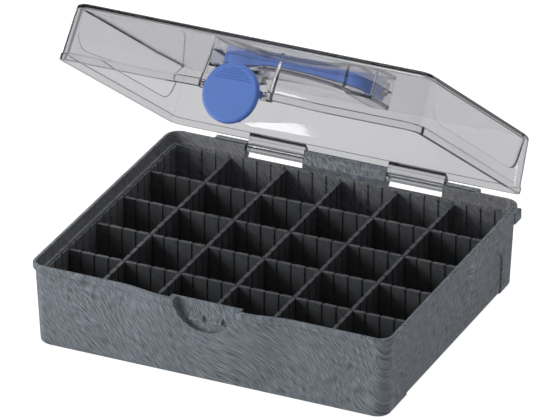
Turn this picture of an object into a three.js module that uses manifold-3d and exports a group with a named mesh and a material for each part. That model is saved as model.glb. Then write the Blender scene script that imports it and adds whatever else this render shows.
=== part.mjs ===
// Parts organizer: a dark drafted tray of thirty compartments under a hinged smoke lid.
// Millimetres, +Z up. The origin is the middle of the tray's underside, the front faces -Y.
import * as THREE from "three";
import { mergeVertices } from "three/addons/utils/BufferGeometryUtils.js";
import Module from "manifold-3d";

const wasm = await Module();
wasm.setup();

// ---------- driving dimensions ----------
const COLUMNS = 6;
const ROWS = 5;
const COLUMN_PITCH = 38;
const ROW_PITCH = 38.4;
const GROOVES_PER_CELL = 4;

const TRAY_HEIGHT = 55;
const RIM_WIDTH = 239;
const RIM_DEPTH = 202;
const FOOT_WIDTH = 232.2;
const FOOT_DEPTH = 196;
const FLOOR = 2.5;
const RIM_WALL = 2.3;
const LIP_HEIGHT = 3.4;
const LIP_OVERHANG = 1.4;
const LIP_TAPER = 1.8;
const CORNER = 9;

const LID_HEIGHT = 36.6;
const LID_WALL = 2.3;
const LID_GAP = 0.3;
const OPEN_ANGLE = THREE.MathUtils.degToRad(36);

const HINGE_Y = 104.6;
const HINGE_Z = 52;
const GAP = 0.3;

// ---------- dimensions that follow ----------
const PLATE = 2.6;
const WEB = 0.8;
const GROOVE_WIDTH = WEB + 2 * GAP;
const GROOVE_DEPTH = (PLATE - WEB) / 2;
const TONGUE_REACH = WEB / 2 + 0.35;
const DIVIDER_BOTTOM = FLOOR + GAP;
const DIVIDER_TOP = TRAY_HEIGHT - 8.8;
const CELLS_HALF_X = (COLUMNS * COLUMN_PITCH - PLATE) / 2;
const CELLS_HALF_Y = (ROWS * ROW_PITCH - PLATE) / 2;
const LEDGE_TOP = TRAY_HEIGHT - 6.5;
const LIP_BOTTOM = TRAY_HEIGHT - LIP_HEIGHT;

const SWELL_DEPTH = 6;
const SWELL_FULL = 26;
const SWELL_END = 58;
const BAY_HALF = 21.85;
const BAY_SIDE_WALL = 1.3;
const RECESS_RADIUS = 19.8;
const RECESS_CENTRE_Z = TRAY_HEIGHT + 0.8;
const RECESS_PLANE_Y = -100.6;

const LID_BOTTOM = TRAY_HEIGHT + LID_GAP;
const LID_TOP = LID_BOTTOM + LID_HEIGHT;

const LATCH_RADIUS = 18.5;
const LATCH_NARROWING = 0.957;
const LATCH_THICKNESS = 4.5;
const LATCH_BACK_Y = -105.6;
const LATCH_CENTRE_Z = RECESS_CENTRE_Z - 1;
const LATCH_AXIS_Y = -102.6;
const LATCH_AXIS_Z = LID_BOTTOM + 2.5;

const HANDLE_AXIS_Y = 1;
const HANDLE_AXIS_Z = LID_BOTTOM + 32;
const CUP_FLOOR_Z = LID_BOTTOM + 24.9;
const POCKET_ENDS_Z = LID_BOTTOM + 26;
const POCKET_WALL = 1.5;

const KNUCKLE_INNER_X = 28;
const KNUCKLE_OUTER_X = 67;
const BLOCK_OUTER_X = 89.5;
const KNUCKLE_RADIUS = 4.2;
const BARREL_RADIUS = 4.5;
const HINGE_PIN_RADIUS = 1.4;

// ---------- colours ----------
const TRAY_COLOUR = 0x62696e;
const DIVIDER_COLOUR = 0x3a3e41;
const LID_COLOUR = 0xa9a7ae;
const BLUE = 0x4f74c4;
const STEEL = 0x9b9ea2;

// ---------- geometry helpers ----------
function toSolid(geometry) {
  const bare = geometry.clone();
  bare.deleteAttribute("normal");
  bare.deleteAttribute("uv");
  const welded = mergeVertices(bare, 1e-4);
  return new wasm.Manifold(new wasm.Mesh({
    numProp: 3,
    vertProperties: new Float32Array(welded.attributes.position.array),
    triVerts: new Uint32Array(welded.index.array),
  }));
}

function toGeometry(solid) {
  const mesh = solid.getMesh();
  const geometry = new THREE.BufferGeometry();
  geometry.setAttribute("position", new THREE.BufferAttribute(new Float32Array(mesh.vertProperties), 3));
  geometry.setIndex(new THREE.BufferAttribute(new Uint32Array(mesh.triVerts), 1));
  return geometry;
}

function unite(solids) {
  return solids.reduce((whole, solid) => whole.add(solid));
}

function cut(solid, tools) {
  return tools.reduce((rest, tool) => rest.subtract(tool), solid);
}

function box(x0, x1, y0, y1, z0, z1) {
  const geometry = new THREE.BoxGeometry(x1 - x0, y1 - y0, z1 - z0);
  return toSolid(geometry.translate((x0 + x1) / 2, (y0 + y1) / 2, (z0 + z1) / 2));
}

function extruded(shape, length, segments) {
  return new THREE.ExtrudeGeometry(shape, { depth: length, bevelEnabled: false, curveSegments: segments });
}

// A flat outline in X and Y, raised from z0 to z1.
function prismZ(shape, z0, z1, segments = 6) {
  return toSolid(extruded(shape, z1 - z0, segments).translate(0, 0, z0));
}

// An outline in X and Z, run along Y from y0 to y1.
function prismY(shape, y0, y1, segments = 6) {
  return toSolid(extruded(shape, y1 - y0, segments).rotateX(Math.PI / 2).translate(0, y1, 0));
}

// An outline in Y and Z, run along X from x0 to x1.
function prismX(shape, x0, x1, segments = 6) {
  const turned = extruded(shape, x1 - x0, segments).rotateX(Math.PI / 2).rotateZ(Math.PI / 2);
  return toSolid(turned.translate(x0, 0, 0));
}

function polygon(points) {
  return new THREE.Shape(points.map(([u, v]) => new THREE.Vector2(u, v)));
}

function circle(u, v, radius) {
  const shape = new THREE.Shape();
  shape.absarc(u, v, radius, 0, 2 * Math.PI, false);
  return shape;
}

// A bar of round section along X, its axis at (y, z).
function rodX(x0, x1, y, z, radius, segments = 12) {
  return prismX(circle(y, z, radius), x0, x1, segments);
}

function mirroredX(solid) {
  return solid.mirror([1, 0, 0]);
}

function smooth(start, end, value) {
  const t = THREE.MathUtils.clamp((value - start) / (end - start), 0, 1);
  return t * t * (3 - 2 * t);
}

// How far the front wall swells out at x, as a share of its full depth.
function swellShare(x) {
  return 1 - smooth(SWELL_FULL, SWELL_END, Math.abs(x));
}

// One level of a box-shaped wall: rounded corners, and a front edge that swells out by
// `swell` except within `flatHalf` of the middle.
function wallRing({ z, halfX, back, front, corner, swell = 0, flatHalf = 0 }) {
  const steps = 5;
  const points = [];
  const corners = [
    [halfX - corner, back - corner, 0],
    [-halfX + corner, back - corner, 1],
    [-halfX + corner, front + corner, 2],
  ];
  const arc = (cx, cy, quarter) => {
    for (let i = 0; i <= steps; i += 1) {
      const angle = (quarter + i / steps) * (Math.PI / 2);
      points.push([cx + corner * Math.cos(angle), cy + corner * Math.sin(angle)]);
    }
  };
  corners.forEach(([cx, cy, quarter]) => arc(cx, cy, quarter));
  const stations = [SWELL_END, 50, 42, 34, SWELL_FULL];
  stations.forEach((x) => points.push([-x, front - swell * swellShare(x)]));
  const inner = flatHalf > 0 ? flatHalf : SWELL_FULL / 2;
  const innerSwell = flatHalf > 0 ? 0 : swell;
  points.push([-inner, front - swell], [-inner + 0.01, front - innerSwell]);
  points.push([inner - 0.01, front - innerSwell], [inner, front - swell]);
  stations.slice().reverse().forEach((x) => points.push([x, front - swell * swellShare(x)]));
  arc(halfX - corner, front + corner, 3);
  return { z, points };
}

// A closed solid through a stack of rings, lowest first, each with the same number of points.
function stackRings(rings) {
  const count = rings[0].points.length;
  const positions = rings.flatMap(({ z, points }) => points.flatMap(([x, y]) => [x, y, z]));
  const triangles = [];
  for (let level = 0; level + 1 < rings.length; level += 1) {
    for (let i = 0; i < count; i += 1) {
      const a = level * count + i;
      const b = level * count + ((i + 1) % count);
      triangles.push(a, b, b + count, a, b + count, a + count);
    }
  }
  const capOf = (ring) => THREE.ShapeUtils.triangulateShape(ring.points.map(([x, y]) => new THREE.Vector2(x, y)), []);
  capOf(rings[0]).forEach(([a, b, c]) => triangles.push(a, c, b));
  const top = (rings.length - 1) * count;
  capOf(rings[rings.length - 1]).forEach(([a, b, c]) => triangles.push(top + a, top + b, top + c));
  const geometry = new THREE.BufferGeometry();
  geometry.setAttribute("position", new THREE.Float32BufferAttribute(positions, 3));
  geometry.setIndex(triangles);
  return toSolid(geometry);
}

// ---------- tray ----------
// The outer wall's half sizes below the lip at height z.
function trayWall(z) {
  const t = (z - 2.2) / (TRAY_HEIGHT - LIP_HEIGHT - 2.2);
  return {
    halfX: THREE.MathUtils.lerp(FOOT_WIDTH, RIM_WIDTH - 2 * LIP_OVERHANG, t) / 2,
    halfY: THREE.MathUtils.lerp(FOOT_DEPTH, RIM_DEPTH - 2 * LIP_OVERHANG, t) / 2,
  };
}

function traySwell(z) {
  return SWELL_DEPTH * smooth(0, TRAY_HEIGHT - 4, z);
}

function trayOuter() {
  const wallLevel = (z, inset = 0) => {
    const { halfX, halfY } = trayWall(Math.max(z, 2.2));
    const swell = traySwell(z);
    return wallRing({ z, halfX: halfX - inset, back: halfY - inset, front: -halfY + inset, corner: CORNER - 1, swell });
  };
  const lipLevel = (z, inset = 0) => wallRing({
    z,
    halfX: RIM_WIDTH / 2 - inset,
    back: RIM_DEPTH / 2 - inset,
    front: -RIM_DEPTH / 2 + inset,
    corner: CORNER,
    swell: SWELL_DEPTH,
  });
  return stackRings([
    wallLevel(0, 2),
    wallLevel(0.7, 0.7),
    wallLevel(2.2),
    wallLevel(15),
    wallLevel(27),
    wallLevel(39),
    wallLevel(LIP_BOTTOM - LIP_TAPER),
    lipLevel(LIP_BOTTOM),
    lipLevel(TRAY_HEIGHT - 0.8),
    lipLevel(TRAY_HEIGHT, 0.6),
  ]);
}

function trayCavity() {
  const ledge = trayWall(LEDGE_TOP);
  const level = (z, halfX, halfY, corner, swell) => wallRing({
    z, halfX, back: halfY, front: -halfY, corner, swell, flatHalf: BAY_HALF + 1.6,
  });
  const rimX = RIM_WIDTH / 2 - RIM_WALL;
  const rimY = RIM_DEPTH / 2 - RIM_WALL;
  return stackRings([
    level(FLOOR, CELLS_HALF_X, CELLS_HALF_Y, 2.5, 0),
    level(DIVIDER_TOP, CELLS_HALF_X, CELLS_HALF_Y, 2.5, 0),
    level(LEDGE_TOP - 0.7, CELLS_HALF_X + 0.9, CELLS_HALF_Y + 0.7, 3.5, 0),
    level(LEDGE_TOP, ledge.halfX - RIM_WALL, ledge.halfY - RIM_WALL, 6, 0),
    level(TRAY_HEIGHT + 0.1, rimX, rimY, CORNER - RIM_WALL, 3.9),
  ]);
}

// Narrow upright slots in the four walls, a quarter of a compartment apart.
function wallGrooves() {
  const tools = [];
  const half = GROOVE_WIDTH / 2;
  const stepX = COLUMN_PITCH / GROOVES_PER_CELL;
  const stepY = ROW_PITCH / GROOVES_PER_CELL;
  const top = LEDGE_TOP - 0.3;
  for (let i = 1; i < COLUMNS * GROOVES_PER_CELL; i += 1) {
    const x = -(COLUMNS * COLUMN_PITCH) / 2 + i * stepX;
    const deep = CELLS_HALF_Y + GROOVE_DEPTH;
    tools.push(box(x - half, x + half, CELLS_HALF_Y - 0.5, deep, FLOOR, top));
    tools.push(box(x - half, x + half, -deep, -CELLS_HALF_Y + 0.5, FLOOR, top));
  }
  for (let i = 1; i < ROWS * GROOVES_PER_CELL; i += 1) {
    const y = -(ROWS * ROW_PITCH) / 2 + i * stepY;
    const deep = CELLS_HALF_X + GROOVE_DEPTH;
    tools.push(box(CELLS_HALF_X - 0.5, deep, y - half, y + half, FLOOR, top));
    tools.push(box(-deep, -CELLS_HALF_X + 0.5, y - half, y + half, FLOOR, top));
  }
  return unite(tools);
}

// The half-round seat of the latch in the front wall, open to the front and the top.
function latchRecess() {
  const disc = prismY(circle(0, RECESS_CENTRE_Z, RECESS_RADIUS), -115, RECESS_PLANE_Y, 40);
  const mouth = box(-RECESS_RADIUS, RECESS_RADIUS, -115, RECESS_PLANE_Y, RECESS_CENTRE_Z - 0.1, 60);
  return disc.add(mouth);
}

// Two wedge-shaped catches that the latch snaps under.
function catchLugs() {
  const back = RECESS_PLANE_Y + 0.5;
  const front = RECESS_PLANE_Y - 2.8;
  const profile = polygon([[back, 46.4], [front, 43.6], [front, 42.6], [back, 42]]);
  const lug = prismX(profile, 1.8, 10.8);
  return [lug, mirroredX(lug)];
}

// The shallow panel sunk into the lower part of each side wall.
function sidePanels() {
  const shape = new THREE.Shape();
  const [rear, front, top, round] = [78, -66, 34, 13];
  shape.moveTo(front, -1);
  shape.lineTo(rear, -1);
  shape.lineTo(rear, top - round);
  shape.absarc(rear - round, top - round, round, 0, Math.PI / 2, false);
  shape.lineTo(front + round, top);
  shape.absarc(front + round, top - round, round, Math.PI / 2, Math.PI, false);
  const drop = 0.9;
  const { halfX: low } = trayWall(2.2);
  const { halfX: high } = trayWall(top);
  const skin = polygon([[low - 2.9, -1], [150, -1], [150, top + 1], [high - drop, top + 1], [low - drop, 2.2]]);
  const panel = prismX(shape, 100, 130).intersect(prismY(skin, -100, 100));
  return [panel, mirroredX(panel)];
}

// Rear notch for the lid's knuckles, the middle barrel and the two outer blocks.
function addHinge(tray) {
  const reach = KNUCKLE_OUTER_X + GAP;
  const notch = box(-reach, reach, 96, 112, HINGE_Z - 5.2, 60);
  const wall = RIM_DEPTH / 2 - RIM_WALL;
  const middle = KNUCKLE_INNER_X;
  const barrel = unite([
    rodX(-middle, middle, HINGE_Y, HINGE_Z, BARREL_RADIUS, 18),
    prismX(
      polygon([
        [wall - 0.6, 40], [HINGE_Y - 1, 40], [HINGE_Y + 3.6, 46.5], [HINGE_Y + 3.6, HINGE_Z - 1],
        [HINGE_Y, HINGE_Z + 1], [HINGE_Y - 4.3, HINGE_Z + 0.6], [wall - 0.6, HINGE_Z - 1.5],
      ]),
      -middle,
      middle,
    ),
  ]);
  const block = prismX(
    polygon([
      [wall - 0.4, 44], [HINGE_Y - 1, 44], [HINGE_Y + 3, 48.5], [HINGE_Y + 3, 53.2],
      [HINGE_Y + 0.6, TRAY_HEIGHT], [wall, TRAY_HEIGHT],
    ]),
    reach,
    BLOCK_OUTER_X,
  );
  const bore = rodX(KNUCKLE_INNER_X - 12, BLOCK_OUTER_X - 4, HINGE_Y, HINGE_Z, HINGE_PIN_RADIUS + GAP);
  const whole = unite([cut(tray, [notch]), barrel, block, mirroredX(block)]);
  return cut(whole, [bore, mirroredX(bore)]);
}

function trayGeometry() {
  let tray = cut(trayOuter(), [trayCavity(), wallGrooves(), ...sidePanels(), latchRecess()]);
  const stop = box(109, 118.2, 94, 104.2, 41, 48);
  tray = unite([tray, ...catchLugs(), stop, mirroredX(stop)]);
  return toGeometry(addHinge(tray));
}

// ---------- dividers ----------
// Plan of a ribbed plate along X: pads on both faces, a thin web between them, tongues at the ends.
// `grooves` are the places of its upright grooves, `bodyHalf` half its padded length.
function ribbedPlan(grooves, bodyHalf, tongueHalf) {
  const face = PLATE / 2;
  const web = WEB / 2;
  const edge = [[-tongueHalf, -web], [-bodyHalf, -web], [-bodyHalf, -face]];
  grooves.forEach((x) => {
    const half = GROOVE_WIDTH / 2;
    edge.push([x - half, -face], [x - half, -web], [x + half, -web], [x + half, -face]);
  });
  edge.push([bodyHalf, -face], [bodyHalf, -web], [tongueHalf, -web]);
  const otherSide = edge.map(([x, y]) => [x, -y]).reverse();
  return polygon([...edge, ...otherSide]);
}

function dividerGeometry(cells, pitch) {
  const length = cells * pitch;
  const grooves = [];
  for (let i = 1; i < cells * GROOVES_PER_CELL; i += 1) {
    grooves.push(-length / 2 + (i * pitch) / GROOVES_PER_CELL);
  }
  const bodyHalf = length / 2 - PLATE / 2 - GAP;
  const tongueHalf = length / 2 - TONGUE_REACH;
  const height = DIVIDER_TOP - DIVIDER_BOTTOM;
  return toGeometry(prismZ(ribbedPlan(grooves, bodyHalf, tongueHalf), 0, height));
}

// ---------- lid, drawn closed ----------
function lidSwell(z) {
  return SWELL_DEPTH * (1 - smooth(0, 30, z - LID_BOTTOM));
}

function lidOuter() {
  const level = (height, side, rear, front, corner) => wallRing({
    z: LID_BOTTOM + height,
    halfX: RIM_WIDTH / 2 - side,
    back: RIM_DEPTH / 2 - rear,
    front: -RIM_DEPTH / 2 + front,
    corner,
    swell: lidSwell(LID_BOTTOM + height),
  });
  return stackRings([
    level(0, 0, 0, 0, CORNER),
    level(4.2, 0, 0, 0, CORNER),
    level(5.2, 1.2, 1.2, 1.2, CORNER - 2),
    level(13, 1.5, 2, 1.6, CORNER - 3),
    level(22, 1.8, 2.9, 2.1, CORNER - 3),
    level(32.4, 2.2, 4, 2.6, CORNER - 3),
    level(34.8, 2.8, 4.6, 3.2, CORNER - 3),
    level(36, 3.8, 5.6, 4.2, CORNER - 3.2),
    level(LID_HEIGHT, 5.4, 7.2, 5.8, CORNER - 3.8),
  ]);
}

function lidCavity() {
  const level = (height, side, rear, front) => wallRing({
    z: LID_BOTTOM + height,
    halfX: RIM_WIDTH / 2 - LID_WALL - side,
    back: RIM_DEPTH / 2 - LID_WALL - rear,
    front: -RIM_DEPTH / 2 + LID_WALL + front,
    corner: CORNER - 3,
    swell: lidSwell(LID_BOTTOM + height),
    flatHalf: BAY_HALF + BAY_SIDE_WALL,
  });
  return stackRings([
    level(-1, 0.9, 0.9, 1.2),
    level(5.2, 1.2, 1.2, 1.2),
    level(13, 1.5, 2, 1.6),
    level(22, 1.8, 2.9, 2.1),
    level(32, 2.2, 4, 2.6),
    level(LID_HEIGHT - LID_WALL, 4.2, 6, 4.6),
  ]);
}

// The bay in front of the lid's plain wall, where the latch sits.
function latchBay() {
  const plain = -RIM_DEPTH / 2 + 1.2;
  const profile = polygon([
    [plain, LID_BOTTOM - 1], [plain, LID_BOTTOM + 5.2], [plain + 1.4, LID_BOTTOM + 32.4],
    [-115, LID_BOTTOM + 32.4], [-115, LID_BOTTOM - 1],
  ]);
  return prismX(profile, -BAY_HALF, BAY_HALF);
}

// The shallow round seat of the latch disc in the bay's wall.
function latchSeat() {
  const plain = -RIM_DEPTH / 2 + 1.2;
  return prismY(circle(0, RECESS_CENTRE_Z, RECESS_RADIUS + 0.4), -104, plain + 0.7, 40);
}

// Small ears at the bay's lower corners that carry the latch's pivot.
function latchEars() {
  const plain = -RIM_DEPTH / 2 + 1.2;
  const ear = box(LATCH_RADIUS + 0.9, BAY_HALF + 1, plain - 4.4, plain + 1, LID_BOTTOM, LID_BOTTOM + 4.8);
  return [ear, mirroredX(ear)];
}

// The sunk panel of each lid side, open to the top.
function lidSidePanels() {
  const low = LID_BOTTOM + 11.3;
  const shape = new THREE.Shape();
  shape.moveTo(-90, LID_TOP + 1);
  shape.lineTo(-86, LID_BOTTOM + 27);
  shape.quadraticCurveTo(-82, low, -60, low);
  shape.lineTo(66, low);
  shape.quadraticCurveTo(77, low, 80, LID_BOTTOM + 19);
  shape.lineTo(86, LID_TOP + 1);
  const half = RIM_WIDTH / 2;
  const drop = 0.9;
  const skin = polygon([
    [half - 1.2 - drop, LID_BOTTOM + 5.2], [130, LID_BOTTOM + 5.2], [130, LID_TOP + 1],
    [half - 3.4 - drop, LID_TOP + 1], [half - 2.2 - drop, LID_BOTTOM + 32.4],
  ]);
  const panel = prismX(shape, 100, 130, 8).intersect(prismY(skin, -100, 100));
  return [panel, mirroredX(panel)];
}

// Plan of the handle's pocket: a bar with wider ends, grown outwards by `grow`.
function pocketPlan(grow) {
  const end = 53 + grow;
  const lobe = 38 - grow;
  const [lobeFront, lobeBack] = [-26 - grow, 14 + grow];
  const [waistFront, waistBack] = [-21 - grow, 7 + grow];
  const round = 5 + grow;
  const shape = new THREE.Shape();
  shape.moveTo(-lobe + 8, waistFront);
  shape.lineTo(lobe - 8, waistFront);
  shape.lineTo(lobe, lobeFront);
  shape.lineTo(end - round, lobeFront);
  shape.absarc(end - round, lobeFront + round, round, -Math.PI / 2, 0, false);
  shape.lineTo(end, lobeBack - round);
  shape.absarc(end - round, lobeBack - round, round, 0, Math.PI / 2, false);
  shape.lineTo(lobe, lobeBack);
  shape.lineTo(lobe - 8, waistBack);
  shape.lineTo(-lobe + 8, waistBack);
  shape.lineTo(-lobe, lobeBack);
  shape.lineTo(-end + round, lobeBack);
  shape.absarc(-end + round, lobeBack - round, round, Math.PI / 2, Math.PI, false);
  shape.lineTo(-end, lobeFront + round);
  shape.absarc(-end + round, lobeFront + round, round, Math.PI, 1.5 * Math.PI, false);
  shape.lineTo(-lobe, lobeFront);
  return shape;
}

// Side view of the pocket's room: a floor arched like the handle's bow between two deeper cups.
// It is grown outwards by `grow`.
function pocketSide(grow) {
  const [end, cup, top] = [60, 40.4 - grow, LID_TOP + 12];
  const floor = POCKET_ENDS_Z - grow;
  const shape = new THREE.Shape();
  shape.moveTo(-end, CUP_FLOOR_Z - grow);
  shape.lineTo(-cup - 1.2, CUP_FLOOR_Z - grow);
  shape.lineTo(-cup, floor);
  shape.quadraticCurveTo(0, floor + 8.4, cup, floor);
  shape.lineTo(cup + 1.2, CUP_FLOOR_Z - grow);
  shape.lineTo(end, CUP_FLOOR_Z - grow);
  shape.lineTo(end, top);
  shape.lineTo(-end, top);
  return shape;
}

function pocketRoom(grow, top) {
  const plan = prismZ(pocketPlan(grow), CUP_FLOOR_Z - 3, top, 3);
  return plan.intersect(prismY(pocketSide(grow), -40, 30, 12));
}

function lidKnuckles() {
  const x0 = KNUCKLE_INNER_X + GAP;
  const x1 = KNUCKLE_OUTER_X - GAP;
  const rear = RIM_DEPTH / 2;
  const web = prismX(
    polygon([
      [HINGE_Y - 3.6, HINGE_Z + 1], [HINGE_Y + 3.4, HINGE_Z + 1], [HINGE_Y + 1.4, LID_BOTTOM + 2.4],
      [rear - 0.4, LID_BOTTOM + 4.2], [rear - 1.6, LID_BOTTOM + 2], [rear - 1.6, LID_BOTTOM],
    ]),
    x0,
    x1,
  );
  const knuckle = rodX(x0, x1, HINGE_Y, HINGE_Z, KNUCKLE_RADIUS, 18).add(web);
  const bored = cut(knuckle, [rodX(x0 - 1, x1 + 1, HINGE_Y, HINGE_Z, HINGE_PIN_RADIUS + GAP)]);
  return [bored, mirroredX(bored)];
}

function lidGeometry() {
  const shell = cut(lidOuter(), [lidCavity(), latchBay(), ...lidSidePanels()]);
  const pocket = pocketRoom(POCKET_WALL, LID_TOP - 1);
  const hollow = pocketRoom(0, LID_TOP + 2);
  const whole = unite([shell, pocket, ...lidKnuckles(), ...latchEars()]);
  return toGeometry(cut(whole, [
    hollow,
    latchSeat(),
    rodX(52, 60, HANDLE_AXIS_Y, HANDLE_AXIS_Z, 1.8),
    rodX(-60, -52, HANDLE_AXIS_Y, HANDLE_AXIS_Z, 1.8),
    rodX(-BAY_HALF - 0.4, BAY_HALF + 0.4, LATCH_AXIS_Y, LATCH_AXIS_Z, 1.3, 8),
  ]));
}

// ---------- latch ----------
function latchGeometry() {
  const half = LATCH_THICKNESS / 2;
  const round = 1.4;
  const profile = [
    [0, -half], [LATCH_RADIUS - 0.6, -half], [LATCH_RADIUS, -half + 0.6],
    [LATCH_RADIUS, half - round], [LATCH_RADIUS - 0.4, half - 0.5], [LATCH_RADIUS - round, half], [0, half],
  ].map(([r, h]) => new THREE.Vector2(r, h));
  const turned = new THREE.LatheGeometry(profile, 36).rotateX(Math.PI).scale(LATCH_NARROWING, 1, 1);
  const disc = toSolid(turned.translate(0, LATCH_BACK_Y - half, LATCH_CENTRE_Z));
  const ridges = [];
  for (let i = 0; i < 5; i += 1) {
    const z = LATCH_CENTRE_Z + 8.3 + i * 1.6;
    const reach = LATCH_NARROWING * Math.sqrt((LATCH_RADIUS - 3) ** 2 - (z - LATCH_CENTRE_Z) ** 2);
    const face = LATCH_BACK_Y - LATCH_THICKNESS;
    const profileYZ = polygon([[face + 0.2, z - 0.5], [face + 0.2, z + 0.5], [face - 0.4, z]]);
    ridges.push(prismX(profileYZ, -reach, reach));
  }
  const hub = box(-17.6, 17.6, LATCH_BACK_Y - 0.5, -100.9, LATCH_AXIS_Z - 2.1, LATCH_AXIS_Z + 2.1);
  const hook = box(1.8, 8.4, LATCH_BACK_Y - 0.5, -101.7, 39.2, 41.6);
  const whole = unite([disc, ...ridges, hub.subtract(rodX(-20, 20, LATCH_AXIS_Y, LATCH_AXIS_Z, 1.3, 8))]);
  return toGeometry(unite([whole, hook, mirroredX(hook)]));
}

// ---------- carrying handle, folded flat ----------
function handleGeometry() {
  const half = 50.3;
  const plan = new THREE.Shape();
  plan.moveTo(half, HANDLE_AXIS_Y);
  plan.lineTo(half, -6);
  plan.quadraticCurveTo(half - 1, -18.5, half - 12, -19);
  plan.lineTo(-half + 12, -19);
  plan.quadraticCurveTo(-half + 1, -18.5, -half, -6);
  plan.lineTo(-half, HANDLE_AXIS_Y);
  plan.lineTo(-half + 8.5, HANDLE_AXIS_Y);
  plan.quadraticCurveTo(-half + 9.5, -8, -half + 17, -8.5);
  plan.lineTo(half - 17, -8.5);
  plan.quadraticCurveTo(half - 9.5, -8, half - 8.5, HANDLE_AXIS_Y);
  const arch = new THREE.Shape();
  const low = HANDLE_AXIS_Z - 4;
  const high = HANDLE_AXIS_Z + 5;
  arch.moveTo(-half - 1, low);
  arch.quadraticCurveTo(0, low + 9, half + 1, low);
  arch.lineTo(half + 1, high);
  arch.quadraticCurveTo(0, high + 13, -half - 1, high);
  const bow = prismZ(plan, low, high + 14, 6).intersect(prismY(arch, -30, 10, 12));
  const foot = rodX(half - 8.5, half, HANDLE_AXIS_Y, HANDLE_AXIS_Z, 5.6, 16);
  const bore = rodX(half - 7, half + 1, HANDLE_AXIS_Y, HANDLE_AXIS_Z, 1.8);
  return toGeometry(cut(unite([bow, foot, mirroredX(foot)]), [bore, mirroredX(bore)]));
}

// ---------- assembly ----------
function plastic(colour, roughness) {
  return new THREE.MeshStandardMaterial({ color: colour, roughness, metalness: 0 });
}

function steel() {
  return new THREE.MeshStandardMaterial({ color: STEEL, roughness: 0.35, metalness: 1 });
}

function smoke() {
  return new THREE.MeshStandardMaterial({
    color: LID_COLOUR, roughness: 0.08, metalness: 0, transparent: true, opacity: 0.35,
  });
}

function piece(name, geometry, material) {
  const mesh = new THREE.Mesh(geometry, material);
  mesh.name = name;
  return mesh;
}

function pinAt(name, x0, x1, y, z, radius) {
  return piece(name, toGeometry(rodX(x0, x1, y, z, radius)), steel());
}

const organizer = new THREE.Group();
organizer.add(piece("base_tray", trayGeometry(), plastic(TRAY_COLOUR, 0.55)));

const longDivider = dividerGeometry(ROWS, ROW_PITCH);
for (let column = 1; column < COLUMNS; column += 1) {
  const divider = piece(`long_divider_${column}`, longDivider, plastic(DIVIDER_COLOUR, 0.6));
  divider.position.set((column - COLUMNS / 2) * COLUMN_PITCH, 0, DIVIDER_BOTTOM);
  divider.rotation.z = Math.PI / 2;
  organizer.add(divider);
}

const crossDivider = dividerGeometry(1, COLUMN_PITCH);
for (let row = 1; row < ROWS; row += 1) {
  for (let column = 1; column <= COLUMNS; column += 1) {
    const divider = piece(`cross_divider_${row}_${column}`, crossDivider, plastic(DIVIDER_COLOUR, 0.6));
    const x = (column - (COLUMNS + 1) / 2) * COLUMN_PITCH;
    divider.position.set(x, (ROWS / 2 - row) * ROW_PITCH, DIVIDER_BOTTOM);
    organizer.add(divider);
  }
}

const pinEnd = BLOCK_OUTER_X - 4 - GAP;
const pinStart = KNUCKLE_INNER_X - 12 + GAP;
organizer.add(pinAt("hinge_pin_right", pinStart, pinEnd, HINGE_Y, HINGE_Z, HINGE_PIN_RADIUS));
organizer.add(pinAt("hinge_pin_left", -pinEnd, -pinStart, HINGE_Y, HINGE_Z, HINGE_PIN_RADIUS));

// Everything that swings with the lid hangs from the hinge axis.
const lidSwing = new THREE.Group();
lidSwing.position.set(0, HINGE_Y, HINGE_Z);
lidSwing.rotation.x = -OPEN_ANGLE;
const closed = new THREE.Group();
closed.position.set(0, -HINGE_Y, -HINGE_Z);
lidSwing.add(closed);
closed.add(piece("lid", lidGeometry(), smoke()));
closed.add(piece("latch", latchGeometry(), plastic(BLUE, 0.4)));
closed.add(pinAt("latch_pin", -BAY_HALF, BAY_HALF, LATCH_AXIS_Y, LATCH_AXIS_Z, 1));
closed.add(piece("handle", handleGeometry(), plastic(BLUE, 0.4)));
closed.add(pinAt("handle_pin_right", 44, 54.6, HANDLE_AXIS_Y, HANDLE_AXIS_Z, 1.5));
closed.add(pinAt("handle_pin_left", -54.6, -44, HANDLE_AXIS_Y, HANDLE_AXIS_Z, 1.5));
organizer.add(lidSwing);

export default organizer;
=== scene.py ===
"""Parts organizer: a tray with divider plates, a smoke lid on a hinge, a disc latch and a handle."""
import math

import bmesh
import bpy
from mathutils import Matrix, Vector


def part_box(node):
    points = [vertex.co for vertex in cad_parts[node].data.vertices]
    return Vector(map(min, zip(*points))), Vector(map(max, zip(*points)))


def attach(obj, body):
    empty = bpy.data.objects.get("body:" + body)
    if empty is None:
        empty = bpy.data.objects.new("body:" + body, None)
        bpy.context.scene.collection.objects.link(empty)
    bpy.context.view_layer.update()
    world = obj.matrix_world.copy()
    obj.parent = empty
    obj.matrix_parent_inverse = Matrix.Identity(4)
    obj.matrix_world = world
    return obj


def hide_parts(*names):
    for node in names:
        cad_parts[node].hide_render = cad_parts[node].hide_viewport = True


bl_info = {
    "name": "Parts organizer",
    "version": (1, 0, 0),
    "blender": (4, 5, 0),
    "location": "3D View > Sidebar > Organizer",
    "description": "Builds a divided small-parts case with a hinged lid, a disc latch and a handle",
    "category": "Object",
}

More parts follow.
